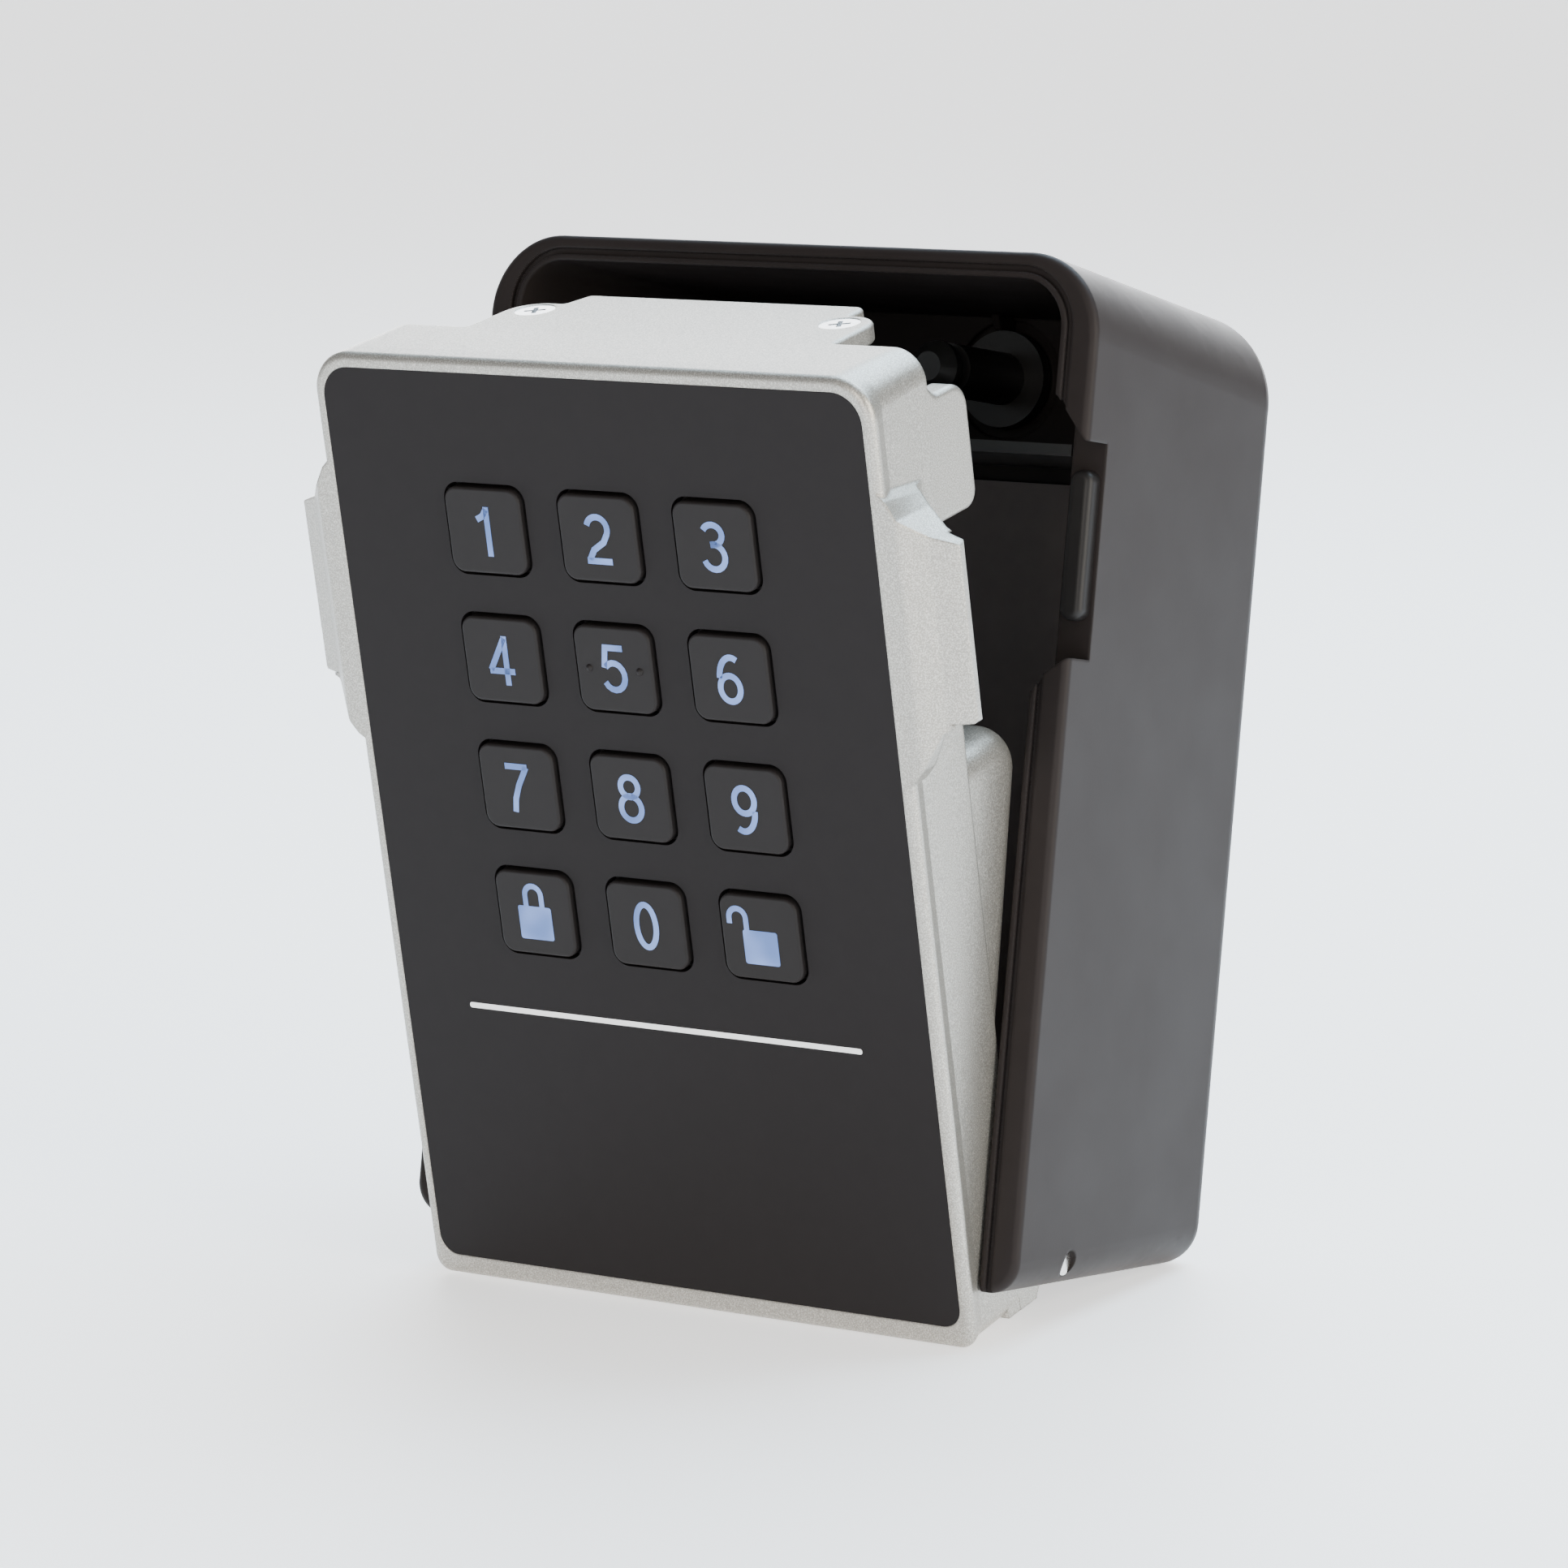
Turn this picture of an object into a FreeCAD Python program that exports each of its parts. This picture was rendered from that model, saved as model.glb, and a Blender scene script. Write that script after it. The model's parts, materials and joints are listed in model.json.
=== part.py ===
"""Wall-mounted key lock box with a push-button keypad door.

The row frame has its origin on the wall face, at the centre of the four wall screws: +X to the
right as seen from the front, +Y into the wall, +Z up. Case pieces are drawn with y = 0 on the
case's front rim and z = 0 a little below its floor. Door pieces are drawn with y = 0 on the
keypad's face, y growing into the box, and z = 0 at the keypad's lower edge. Each sub-part's
Placement puts it in the row frame; the door's also swings it open about the hinge pin.
"""
import FreeCAD, Part
import math
import os

import Sketcher
from FreeCAD import Placement, Rotation, Vector

DIMENSIONS = {
    # case
    "case_half": 42.8, "case_top": 124.75, "case_floor": 4.7, "case_depth": 49.0,
    "side_draft": 0.049, "top_draft": 0.065, "floor_draft": 0.033,
    "case_corner_top": 9.7, "case_corner_low": 3.8, "case_corner_back": 11.0,
    "rim_round": 0.85, "back_round": 3.0, "back_wall": 5.0,
    "mouth_half": 38.1, "mouth_top": 121.65, "mouth_corner": 5.75, "inner_draft": 0.012,
    "inner_top_draft": 0.031, "inner_floor": 8.0, "sill_depth": 19.2,
    "groove_in": 0.7, "groove_out": 1.5, "groove_depth": 0.6,
    "notch_low": 78.3, "notch_high": 103.3, "notch_depth": 5.2, "notch_slant": 4.2,
    "notch_outer": 42.4, "notch_inner": 39.3,
    "screw_span_x": 48.0, "screw_span_z": 66.0, "screw_mid_z": 58.0, "screw_hole": 4.5,
    "screw_head_hole": 9.6,
    "shelf_half": 37.2, "shelf_tongue": 33.6, "shelf_step": 19.5, "shelf_low": 102.0,
    "shelf_thick": 1.4, "shelf_front": 12.4,
    "liner_half": 33.0, "liner_thick": 0.8, "liner_low": 12.0, "liner_high": 100.0,
    "pad_wide": 3.0, "pad_low": 82.7, "pad_high": 100.1, "pad_proud": 2.2, "pad_mid": 40.5,
    # strike post
    "post_x": 5.1, "post_z": 112.6, "post_radius": 3.25, "post_tip": 25.0, "post_tip_radius": 1.8,
    "post_cone": 1.6, "post_neck_front": 27.5, "post_neck_back": 29.7, "post_neck_radius": 2.1,
    "boss_radius": 6.0, "boss_proud": 1.4, "boss_ring": 7.4, "boss_ring_depth": 0.8,
    # hinge
    "hinge_y": 13.5, "hinge_z": 8.1, "pin_radius": 1.5, "pin_play": 0.05, "pin_recess": 0.9,
    "ear_radius": 2.6, "ear_wide": 3.6, "door_open": 20.53,
    # door frame
    "door_face_y": -3.08, "door_low_z": 6.02,
    "frame_half": 38.75, "frame_waist": 37.7, "frame_back_half": 37.45, "frame_top": 113.3,
    "frame_low": -2.65, "frame_corner": 5.4, "frame_corner_low": 2.3, "frame_flank": 3.2,
    "frame_depth": 13.2, "frame_wall": 1.5, "web_front": 7.0, "web_thick": 1.0,
    "front_round": 0.9, "soft_edge": 0.5,
    "lip_half": 39.95, "bend_half": 42.5, "bend_deep": 2.5, "wing_half": 45.45, "wing_front": 3.95,
    "wing_back": 5.4, "foot_deep": 2.75, "wing_low": 72.5, "wing_high": 93.7, "web_reach": 8.0, "web_deep": 10.2,
    "tab_deep": 21.4, "tab_low": 92.8, "tab_high": 107.5, "tab_thick": 3.0, "tab_round": 0.7,
    "roof_right": 20.4, "roof_left": 18.2, "roof_deep": 28.9, "roof_thick": 2.4,
    "lug_x": 21.2, "lug_deep": 21.6, "lug_half": 25.2, "lug_end": 25.4, "lug_radius": 3.0,
    "floor_deep": 16.0, "cheek_high": 5.0,
    # keypad
    "fascia_half": 37.0, "fascia_high": 111.62, "fascia_thick": 2.0, "fascia_play": 0.05,
    "fascia_corner": 3.8, "fascia_corner_low": 2.5,
    "key_pitch_x": 15.83, "key_pitch_z": 15.617, "key_top_row": 92.98,
    "well_wide": 11.42, "well_high": 11.12, "well_corner": 2.1,
    "key_gap": 0.42, "key_raise": 0.6, "key_bevel": 0.35, "key_travel": 0.7, "key_flange": 0.45,
    "key_skirt": 0.4, "key_stem_radius": 1.5, "key_stem_end": 3.5,
    "mat_front": 2.05, "mat_thick": 0.9, "mat_half": 34.5, "mat_low": 38.0, "mat_high": 101.5,
    "board_front": 4.6, "board_thick": 1.2, "board_half": 34.0, "board_low": 41.3,
    "board_high": 108.0, "board_screw_x": 31.0, "dome_radius": 2.3, "dome_proud": 0.35,
    "led_side": 1.6, "led_proud": 0.6, "led_offset": 4.0,
    # mechanism case and its drive
    "mech_half": 17.6, "mech_low": 98.3, "mech_deep": 28.9, "mech_wall": 1.4,
    "top_screw_head": 2.5, "top_screw_radius": 1.45, "top_screw_long": 8.5,
    "fork_front": 31.0, "fork_thick": 1.4, "fork_travel": 7.5, "fork_gap": 0.35, "fork_tine": 1.6,
    "pinion_x": -6.0, "pinion_z": 104.0, "pinion_radius": 2.0, "pinion_teeth": 10,
    "motor_radius": 3.9, "motor_front": 8.3, "motor_back": 22.5, "shaft_radius": 0.75,
    "gear_front": 23.4, "gear_back": 26.2,
    # battery box
    "box_half": 37.2, "box_neck": 35.6, "box_low": 12.0, "box_high": 65.9, "box_shoulder": 60.0,
    "box_deep": 25.9, "box_toe": 9.7, "box_wall": 1.2, "box_round": 5.0, "box_side_round": 4.0,
    "lid_half": 27.0, "lid_low": 30.0, "lid_high": 58.0, "lid_play": 0.15,
    "cell_radius": 5.1, "cell_long": 44.5, "cell_top": 59.3, "cell_step": 10.3, "cell_play": 0.1,
}

doc = FreeCAD.newDocument("KeyLockBox")
sheet = doc.addObject("Spreadsheet::Sheet", "Sizes")
for row, (alias, number) in enumerate(DIMENSIONS.items(), start=1):
    sheet.set(f"A{row}", alias)
    sheet.set(f"B{row}", str(number))
    sheet.setAlias(f"B{row}", alias)
doc.recompute()


class Sizes:
    """The sheet's numbers by name."""

    def __getattr__(self, alias):
        return float(sheet.get(alias))


size = Sizes()
subparts = []

# ---------------------------------------------------------------- placing

ROW_SHIFT = Vector(0, -size.case_depth, -size.screw_mid_z)
HINGE = Vector(0, size.hinge_y, size.hinge_z)
CASE_PLACE = Placement(ROW_SHIFT, Rotation())
DOOR_CLOSED = Placement(Vector(0, size.door_face_y, size.door_low_z), Rotation())
SWING = Placement(Vector(), Rotation(Vector(1, 0, 0), size.door_open), HINGE)
DOOR_PLACE = CASE_PLACE * SWING * DOOR_CLOSED


def keep(item, label, place):
    """Name a finished sub-part and put it in the row frame."""
    item.Label = label
    item.Placement = place
    subparts.append(item)
    return item


def keep_shape(shape, label, place):
    """A sub-part whose form neither the primitives nor PartDesign give."""
    item = doc.addObject("Part::Feature", label + "_shape")
    item.Shape = shape
    return keep(item, label, place * item.Placement)


# ---------------------------------------------------------------- drawing with Part

PLANES = {
    "xz": (lambda a, b, level: Vector(a, level, b), Vector(0, 1, 0)),
    "xy": (lambda a, b, level: Vector(a, b, level), Vector(0, 0, 1)),
    "yz": (lambda a, b, level: Vector(level, a, b), Vector(1, 0, 0)),
}


def rounded_wire(corners, plane, level):
    """A closed outline through (a, b, radius) corners, each rounded by a tangent arc."""
    points = [PLANES[plane][0](a, b, level) for a, b, _ in corners]
    edges, first, last = [], None, None
    for index, (_, _, radius) in enumerate(corners):
        here = points[index]
        back = (points[index - 1] - here).normalize()
        ahead = (points[(index + 1) % len(points)] - here).normalize()
        if radius:
            half = back.getAngle(ahead) / 2
            reach = radius / math.tan(half)
            middle = (back + ahead).normalize()
            start, end = here + back * reach, here + ahead * reach
            mid = here + middle * (radius / math.sin(half) - radius)
            arc = Part.Arc(start, mid, end).toShape()
        else:
            start = end = here
            arc = None
        if last is not None:
            edges.append(Part.LineSegment(last, start).toShape())
        else:
            first = start
        if arc:
            edges.append(arc)
        last = end
    if (last - first).Length > 1e-6:
        edges.append(Part.LineSegment(last, first).toShape())
    return Part.Wire(edges)


def prism(corners, plane, start, end):
    """A rounded outline carried from one level to another."""
    face = Part.Face(rounded_wire(corners, plane, start))
    return face.extrude(PLANES[plane][1] * (end - start))


def slab(half, low, high, radius_low, radius_high, start, end):
    """A plate across the box: rounded rectangle in XZ, from depth start to end."""
    return prism(frame_corners(half, low, high, radius_low, radius_high), "xz", start, end)


def frame_corners(half, low, high, radius_low, radius_high):
    return [(-half, low, radius_low), (half, low, radius_low),
            (half, high, radius_high), (-half, high, radius_high)]


def loft(near, far, near_depth, far_depth):
    """A drafted solid between two outlines with the same number of corners."""
    wires = [rounded_wire(near, "xz", near_depth), rounded_wire(far, "xz", far_depth)]
    return Part.makeLoft(wires, True, True)


def block(low, high):
    span = high - low
    return Part.makeBox(span.x, span.y, span.z, low)


def both_sides(shape):
    """The shape and its mirror image across the middle plane."""
    return [shape, shape.mirror(Vector(), Vector(1, 0, 0))]


def edges_where(shape, test):
    return [edge for edge in shape.Edges if test(edge)]


def flat_at(edge, depth):
    box = edge.BoundBox
    return abs(box.YMin - depth) < 1e-3 and abs(box.YMax - depth) < 1e-3


# ---------------------------------------------------------------- drawing with PartDesign

def new_body(label):
    return doc.addObject("PartDesign::Body", label + "_body")


def plane_sketch(body, role, offset, name):
    """A sketch on one of the body's own planes, moved by three sheet expressions."""
    sketch = body.newObject("Sketcher::SketchObject", name)
    plane = [item for item in body.Origin.OriginFeatures if item.Role == role][0]
    sketch.AttachmentSupport = [(plane, "")]
    sketch.MapMode = "FlatFace"
    for axis, text in zip("xyz", offset):
        sketch.setExpression(f"AttachmentOffset.Base.{axis}", text)
    return sketch


def rectangle_sketch(body, role, offset, wide, high, name):
    sketch = plane_sketch(body, role, offset, name)
    corners = [Vector(-1, -1, 0), Vector(1, -1, 0), Vector(1, 1, 0), Vector(-1, 1, 0)]
    sides = [sketch.addGeometry(Part.LineSegment(corners[i], corners[(i + 1) % 4]), False)
             for i in range(4)]
    for i in range(4):
        sketch.addConstraint(Sketcher.Constraint("Coincident", sides[i], 2, sides[(i + 1) % 4], 1))
    for i in (0, 2):
        sketch.addConstraint(Sketcher.Constraint("Horizontal", sides[i]))
        sketch.addConstraint(Sketcher.Constraint("Vertical", sides[i + 1]))
    sketch.addConstraint(Sketcher.Constraint("Symmetric", sides[0], 1, sides[2], 1, -1, 1))
    across = sketch.addConstraint(Sketcher.Constraint("DistanceX", sides[0], 1, sides[0], 2, 2.0))
    upward = sketch.addConstraint(Sketcher.Constraint("DistanceY", sides[1], 1, sides[1], 2, 2.0))
    sketch.setExpression(f"Constraints[{across}]", wide)
    sketch.setExpression(f"Constraints[{upward}]", high)
    return sketch


def circle_sketch(body, role, offset, diameter, name):
    sketch = plane_sketch(body, role, offset, name)
    ring = sketch.addGeometry(Part.Circle(Vector(), Vector(0, 0, 1), 1.0), False)
    sketch.addConstraint(Sketcher.Constraint("Coincident", ring, 3, -1, 1))
    width = sketch.addConstraint(Sketcher.Constraint("Diameter", ring, 2.0))
    sketch.setExpression(f"Constraints[{width}]", diameter)
    return sketch


def pad(body, sketch, length, name):
    item = body.newObject("PartDesign::Pad", name)
    item.Profile = sketch
    item.setExpression("Length", length)
    doc.recompute()
    return item


def pocket(body, sketch, length, name):
    """A pocket towards the back of the sketch, checked to remove material."""
    before = body.Shape.Volume
    item = body.newObject("PartDesign::Pocket", name)
    item.Profile = sketch
    item.setExpression("Length", length)
    doc.recompute()
    if item.Shape.Volume >= before:
        raise RuntimeError(f"{name} removes nothing")
    return item


def depth_edges(shape):
    """Names of the straight edges that run into the box."""
    names = []
    for index, edge in enumerate(shape.Edges, start=1):
        start, end = edge.Vertexes[0].Point, edge.Vertexes[-1].Point
        if len(edge.Vertexes) == 2 and abs((end - start).normalize().y) > 0.999:
            names.append(f"Edge{index}")
    return names


def round_edges(body, base, names, radius, name):
    item = body.newObject("PartDesign::Fillet", name)
    item.Base = (base, names)
    item.setExpression("Radius", radius)
    doc.recompute()
    return item


def front_edges(shape):
    """Names of the edges that lie in the frontmost plane."""
    front = shape.BoundBox.YMin
    return [f"Edge{index}" for index, edge in enumerate(shape.Edges, start=1)
            if flat_at(edge, front)]


def plate_body(label, offset, wide, high, thick, radius):
    """A rounded plate in XZ. The offset's third entry is minus the plate's deep face."""
    body = new_body(label)
    base = pad(body, rectangle_sketch(body, "XZ_Plane", offset, wide, high, label + "_outline"),
               thick, label + "_plate")
    round_edges(body, base, depth_edges(base.Shape), radius, label + "_corners")
    return body


# ---------------------------------------------------------------- case pieces

def case_outline(depth, corner_top, corner_low):
    half = size.case_half - size.side_draft * depth
    return frame_corners(half, size.case_floor + size.floor_draft * depth,
                         size.case_top - size.top_draft * depth, corner_low, corner_top)


def mouth_outline(depth, grow=0.0, low=None):
    half = size.mouth_half - size.inner_draft * depth + grow
    top = size.mouth_top - size.inner_top_draft * depth + grow
    floor = size.inner_floor if low is None else low
    return frame_corners(half, floor, top, 1.5, size.mouth_corner + grow)


def notch_cutter():
    """Finger notch through the right cheek; its ends slant where they cross the rim."""
    slant, low, high = size.notch_slant, size.notch_low, size.notch_high
    inner, outer, rim = size.mouth_half - 1.5, size.case_half + 2, size.mouth_half + 0.1
    corners = [(inner, low - slant, 0), (rim, low - slant, 0.8), (size.notch_inner, low - 2.2, 1.0),
               (size.notch_outer, low, 1.0), (outer, low + 0.3, 0), (outer, high - 0.1, 0),
               (size.notch_outer, high, 0.6), (rim, high + slant + 1.0, 1.0),
               (inner, high + slant + 1.0, 0)]
    return prism(corners, "xz", -1, size.notch_depth)


def make_housing():
    """Die-cast case: drafted shell, rim groove, finger notches, hinge and wall-screw holes."""
    outer = loft(case_outline(0, size.case_corner_top, size.case_corner_low),
                 case_outline(size.case_depth, size.case_corner_back, size.case_corner_back / 2),
                 0, size.case_depth)
    outer = outer.makeFillet(size.back_round,
                             edges_where(outer, lambda edge: flat_at(edge, size.case_depth)))
    outer = outer.makeFillet(size.rim_round, edges_where(outer, lambda edge: flat_at(edge, 0)))
    inside = size.case_depth - size.back_wall
    hollow = loft(mouth_outline(-1), mouth_outline(inside), -1, inside)
    sill = block(Vector(-size.mouth_half, -1, 0),
                 Vector(size.mouth_half, size.sill_depth, size.inner_floor + 3))
    ring = prism(mouth_outline(0, size.groove_out, -1), "xz", -1, size.groove_depth).cut(
        prism(mouth_outline(0, size.groove_in, -2), "xz", -2, size.groove_depth + 1))
    shell = outer.cut([hollow, sill, ring] + both_sides(notch_cutter()))
    pin_hole = Part.makeCylinder(size.pin_radius, 4 * size.case_half,
                                 Vector(-2 * size.case_half, size.hinge_y, size.hinge_z),
                                 Vector(1, 0, 0))
    wall_holes = [
        Part.makeCylinder(size.screw_hole / 2, 2 * size.back_wall,
                          Vector(side * size.screw_span_x / 2, inside - 1,
                                 size.screw_mid_z + level * size.screw_span_z / 2), Vector(0, 1, 0))
        for side in (-1, 1) for level in (-1, 1)]
    post_axis = Vector(size.post_x, inside, size.post_z)
    ring_recess = Part.makeCylinder(size.boss_ring, size.boss_ring_depth + 1,
                                    post_axis - Vector(0, 1, 0), Vector(0, 1, 0))
    ring_recess = ring_recess.cut(Part.makeCylinder(size.boss_radius, 10,
                                                    post_axis - Vector(0, 5, 0), Vector(0, 1, 0)))
    shell = shell.cut([pin_hole, ring_recess] + wall_holes)
    roof = size.mouth_top - size.inner_top_draft * inside
    ribs = [prism([(inside + 0.5, size.post_z + 3.6, 0), (inside + 0.5, roof + 0.5, 0),
                   (inside - 4.0, roof + 0.5, 0), (inside - 1.6, size.post_z + 3.6, 0.8)],
                  "yz", middle - 0.5, middle + 0.5)
            for middle in (size.post_x - 0.3, size.post_x - 26.8)]
    ribs[0] = ribs[0].cut(Part.makeCylinder(size.boss_radius, 10, post_axis - Vector(0, 5, 0),
                                            Vector(0, 1, 0)))
    return keep_shape(shell.fuse(ribs).removeSplitter(), "housing", CASE_PLACE)


def make_strike_post():
    """Turned steel post on the back wall: flange, shank, neck for the latch, coned head."""
    inside = size.case_depth - size.back_wall
    profile = [(0, size.post_tip), (size.post_tip_radius, size.post_tip),
               (size.post_radius, size.post_tip + size.post_cone),
               (size.post_radius, size.post_neck_front), (size.post_neck_radius, size.post_neck_front),
               (size.post_neck_radius, size.post_neck_back), (size.post_radius, size.post_neck_back),
               (size.post_radius, inside - size.boss_proud), (size.boss_radius, inside - size.boss_proud),
               (size.boss_radius, inside), (0, inside)]
    corners = [(radius, depth, 0) for radius, depth in profile]
    face = Part.Face(rounded_wire(corners, "xy", 0))
    solid = face.revolve(Vector(), Vector(0, 1, 0), 360)
    solid.translate(Vector(size.post_x, 0, size.post_z))
    return keep_shape(solid, "strike_post", CASE_PLACE)


def make_hinge_pin():
    pin = doc.addObject("Part::Cylinder", "hinge_pin_rod")
    pin.setExpression("Radius", "Sizes.pin_radius")
    pin.setExpression("Height", "2 * (Sizes.case_half - Sizes.side_draft * Sizes.hinge_y"
                                " - Sizes.pin_recess)")
    doc.recompute()
    lying = Placement(Vector(-pin.Height.Value / 2, size.hinge_y, size.hinge_z),
                      Rotation(Vector(0, 1, 0), 90))
    return keep(pin, "hinge_pin", CASE_PLACE * lying)


def make_grip_pad(label, side):
    """Rounded rubber rib on the cut face of a finger notch."""
    body = new_body(label)
    offset = [f"{side} * Sizes.pad_mid", "(Sizes.pad_low + Sizes.pad_high) / 2", "-Sizes.notch_depth"]
    base = pad(body, rectangle_sketch(body, "XZ_Plane", offset, "Sizes.pad_wide",
                                      "Sizes.pad_high - Sizes.pad_low", label + "_outline"),
               "Sizes.pad_proud", label + "_rib")
    rounded = round_edges(body, base, depth_edges(base.Shape), "Sizes.pad_wide * 0.45",
                          label + "_ends")
    round_edges(body, rounded, front_edges(rounded.Shape), "Sizes.pad_wide * 0.3", label + "_crown")
    return keep(body, label, CASE_PLACE)


def make_shelf():
    """Shelf across the top of the box; its front part is narrower, between the door's cheeks."""
    body = new_body("shelf")
    back = "(Sizes.case_depth - Sizes.back_wall)"
    for label, half, near, far in (("tongue", "Sizes.shelf_tongue", "Sizes.shelf_front", back),
                                   ("full", "Sizes.shelf_half", "Sizes.shelf_step", back)):
        sketch = rectangle_sketch(body, "XY_Plane", ["0", f"({near} + {far}) / 2", "Sizes.shelf_low"],
                                  f"2 * {half}", f"{far} - {near}", f"shelf_{label}_outline")
        pad(body, sketch, "Sizes.shelf_thick", f"shelf_{label}")
    return keep(body, "shelf", CASE_PLACE)


def make_liner():
    """Thin panel over the back wall, with clearance for the wall screws' heads."""
    body = plate_body("back_liner", ["0", "(Sizes.liner_low + Sizes.liner_high) / 2",
                                     "-(Sizes.case_depth - Sizes.back_wall)"],
                      "2 * Sizes.liner_half", "Sizes.liner_high - Sizes.liner_low",
                      "Sizes.liner_thick", "2")
    for side in (-1, 1):
        for level in (-1, 1):
            name = f"liner_hole_{side + 1}_{level + 1}"
            sketch = circle_sketch(body, "XZ_Plane",
                                   [f"{side} * Sizes.screw_span_x / 2",
                                    f"Sizes.screw_mid_z + {level} * Sizes.screw_span_z / 2",
                                    "-(Sizes.case_depth - Sizes.back_wall - Sizes.liner_thick)"],
                                   "Sizes.screw_head_hole", name + "_circle")
            pocket(body, sketch, "Sizes.liner_thick", name)
    return keep(body, "back_liner", CASE_PLACE)


# ---------------------------------------------------------------- door casting

def key_places():
    """Centre of every key with its name, row by row from the top left."""
    names = ["key_1", "key_2", "key_3", "key_4", "key_5", "key_6",
             "key_7", "key_8", "key_9", "key_lock", "key_0", "key_unlock"]
    return [(name, (index % 3 - 1) * size.key_pitch_x,
             size.key_top_row - (index // 3) * size.key_pitch_z)
            for index, name in enumerate(names)]


def make_wing():
    """Right finger grip: bent flange whose upper end slopes back to the side wall."""
    root = size.frame_back_half - 1.0
    rim = size.frame_half
    lip, bend, tip = size.lip_half, size.bend_half, size.wing_half
    low, high = size.wing_low, size.wing_high
    near = [(root, low - 7.5, 0), (rim, low - 6.0, 0.6), (lip + 0.1, low - 4.4, 0), (bend - 0.6, low - 0.6, 0),
            (bend + 0.5, low, 0), (tip, low, 1.3), (tip, high, 0.8), (bend, high + 1.1, 0),
            (lip, high + 3.5, 0.8), (rim, high + 5.6, 1.0), (root, high + 7.8, 0)]
    far = [(root, low - 7.5, 0), (rim, low - 6.0, 0.6), (lip + 0.1, low - 4.4, 0), (bend - 0.6, low - 0.6, 0),
           (bend + 0.5, low, 0), (tip, low, 1.3), (tip, high, 0.8), (bend, high + 1.1, 0),
           (lip, high + 3.2, 0.8), (rim, high + 4.2, 1.0), (root, high + 6.1, 0)]
    outline = loft(near, far, 0, size.web_deep + 0.5)
    front = [(root, 0, 0), (lip, 0, 0.9), (bend, size.bend_deep, 0.8), (tip, size.wing_front, 0.3)]
    foot = prism(front[:2] + [(bend, size.bend_deep, 0), (bend + 0.8, size.foot_deep, 0),
                              (root, size.foot_deep, 0)], "xy", low - 10, low + 0.4)
    flange = prism(front + [(tip - 0.25, size.wing_back, 0.3), (root, size.wing_back, 0)],
                   "xy", low + 0.4, high + 0.8)
    gusset = prism(front + [(tip - 0.25, size.wing_back, 0.3), (size.mouth_half - 0.1, size.web_reach, 0),
                            (size.frame_back_half, size.web_deep, 0), (root, size.web_deep, 0)],
                   "xy", high + 0.8, high + 12)
    return outline.common(flange.fuse([foot, gusset]))


def make_tab():
    """Right cheek plate that reaches into the case beside the mechanism."""
    inner = size.frame_back_half - size.tab_thick
    rear = size.frame_depth
    corners = [(size.frame_flank + 1, size.tab_low, 0), (size.tab_deep, size.tab_low, 2.2),
               (size.tab_deep, size.tab_high, 3.0), (rear + 1.6, size.tab_high, 1.2),
               (rear - 0.2, size.tab_high + 1.8, 0), (size.frame_flank + 1, size.tab_high + 1.8, 0)]
    plate = prism(corners, "yz", inner, size.frame_back_half)
    return plate.makeFillet(size.tab_round, edges_where(
        plate, lambda edge: abs(edge.BoundBox.XMin - size.frame_back_half) < 1e-3
        and edge.BoundBox.YMax > size.tab_deep - 3.5))


def make_roof():
    """Top plate over the mechanism, with two screw lugs."""
    top, step = size.frame_top - 0.1, size.frame_depth
    half, end, deep = size.lug_half, size.lug_end, size.roof_deep
    outline = [(-half - 3, step - 2, 0), (half + 3, step - 2, 0), (half + 0.3, step + 0.4, 2.0),
               (half, end, 3.8), (size.roof_right, end - 0.5, 0.5), (size.roof_right, deep, 1.3),
               (-size.roof_left, deep, 1.0), (-size.roof_left - 1.0, end - 0.5, 0.5),
               (-half + 0.2, end - 0.4, 4.4), (-half - 0.3, step + 0.4, 2.0)]
    plate = prism(outline, "xy", top - size.roof_thick, top)
    return plate.makeFillet(size.soft_edge, edges_where(
        plate, lambda edge: abs(edge.BoundBox.ZMax - edge.BoundBox.ZMin) < 1e-3
        and edge.BoundBox.YMax > step + 1.2))


def screw_sink(side):
    """Countersunk hole for one top screw."""
    top = size.frame_top - 0.1
    head_deep = size.top_screw_head - size.top_screw_radius
    place = Vector(side * size.lug_x, size.lug_deep, top - head_deep)
    cone = Part.makeCone(size.top_screw_radius, size.top_screw_head, head_deep, place)
    hole = Part.makeCylinder(size.top_screw_radius, size.top_screw_long,
                             Vector(place.x, place.y, top - size.top_screw_long))
    return cone.fuse(hole)


def make_ears():
    """Hinge ears along the door's lower edge, standing on its floor plate."""
    depth, level = size.hinge_y - size.door_face_y, size.hinge_z - size.door_low_z
    ears = []
    outer = size.mouth_half - 0.7
    for left in (-outer, -outer / 3 - size.ear_wide, outer / 3, outer - size.ear_wide):
        barrel = Part.makeCylinder(size.ear_radius, size.ear_wide, Vector(left, depth, level),
                                   Vector(1, 0, 0))
        leg = prism([(depth - 7, size.frame_low, 0), (depth - 0.7, size.frame_low, 0),
                     (depth + size.ear_radius - 0.4, level - 1.2, 0), (depth, level + size.ear_radius, 0),
                     (depth - 7, level + size.ear_radius - 1.0, 0)], "yz", left, left + size.ear_wide)
        ears.append(barrel.fuse(leg))
    bore = Part.makeCylinder(size.pin_radius + size.pin_play, 4 * outer,
                             Vector(-2 * outer, depth, level), Vector(1, 0, 0))
    return ears, bore


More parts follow.
